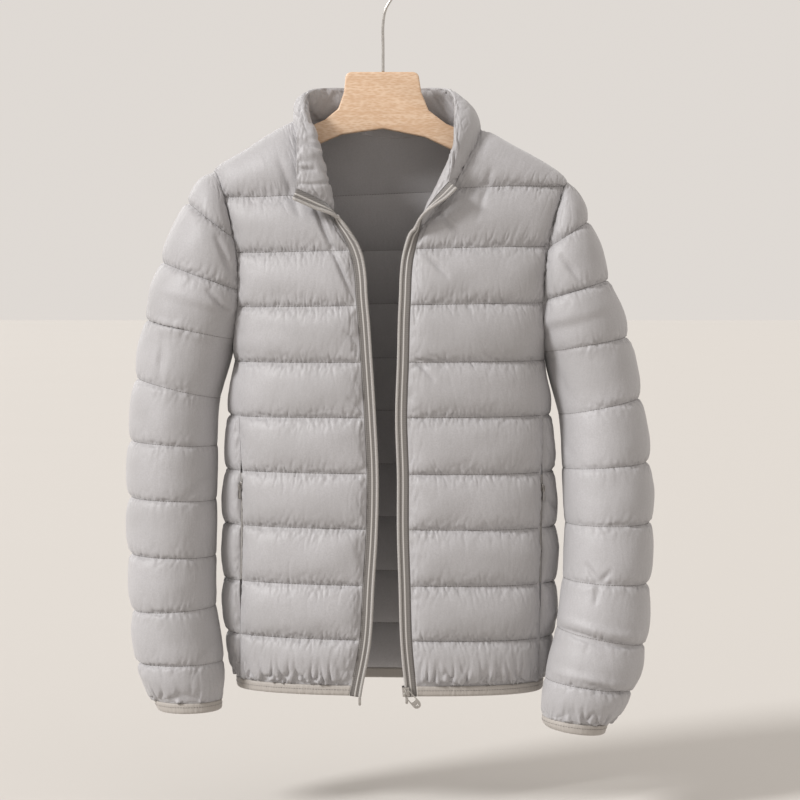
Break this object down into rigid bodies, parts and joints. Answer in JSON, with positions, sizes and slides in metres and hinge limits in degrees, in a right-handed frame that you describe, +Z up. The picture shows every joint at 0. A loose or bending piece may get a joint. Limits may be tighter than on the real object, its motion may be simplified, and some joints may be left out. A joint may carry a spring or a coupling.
{
  "type": "puffer jacket on a wooden hanger",
  "caption": "Light quilted down jacket with a stand collar, worn open, hung on a flat wooden hanger with a wire hook; held by the hook.",
  "frame": {"origin": "inside top of the hanger's hook, where a rail would touch it", "axes": "+Z up along the hook's stem, +X to the wearer's left (the right of the picture), +Y towards the back of the jacket; the open front faces -Y"},
  "size_m": [0.6386, 0.1957, 0.923],
  "materials": {
    "quilted_nylon": "soft sheen, down-filled light nylon",
    "ribbed_binding": "matt elastic binding",
    "zip_tape": "matt woven tape with a coil",
    "zip_metal": "satin plated zinc",
    "wood": "clear satin lacquer",
    "hook_steel": "bright plated wire"
  },
  "bodies": {
    "jacket": {"back": "quilted_nylon", "collar": "quilted_nylon", "cuff_left": "ribbed_binding", "cuff_right": "ribbed_binding", "front_left": "quilted_nylon", "front_right": "quilted_nylon", "hanger_hook": "hook_steel", "hanger_wood": "wood", "hem_binding": "ribbed_binding", "pocket_slider_left": "zip_metal", "pocket_slider_right": "zip_metal", "pocket_zip_left": "zip_tape", "pocket_zip_right": "zip_tape", "side_left": "quilted_nylon", "side_right": "quilted_nylon", "sleeve_left": "quilted_nylon", "sleeve_right": "quilted_nylon", "zip_foot_left": "zip_metal", "zip_foot_right": "zip_metal", "zip_slider": "zip_metal", "zip_tape_left": "zip_tape", "zip_tape_right": "zip_tape"},
    "zip_pull": {"zip_pull": "zip_metal"},
    "pocket_pull_right": {"pocket_pull_right": "zip_metal"},
    "pocket_pull_left": {"pocket_pull_left": "zip_metal"}
  },
  "joints": [
    {"name": "zip_pull_hinge", "type": "hinge", "parent": "jacket", "child": "zip_pull", "pos_m": [0.02769, -0.08161, -0.86844], "axis": [-0.7518, 0, -0.6594], "range_deg": [0, 110]},
    {"name": "pocket_pull_right_hinge", "type": "hinge", "parent": "jacket", "child": "pocket_pull_right", "pos_m": [-0.17125, -0.05277, -0.62514], "axis": [-0.7616, 0.6481, 0], "range_deg": [0, 110]},
    {"name": "pocket_pull_left_hinge", "type": "hinge", "parent": "jacket", "child": "pocket_pull_left", "pos_m": [0.19262, -0.04774, -0.62821], "axis": [-0.6956, -0.7184, 0], "range_deg": [0, 110]}
  ]
}
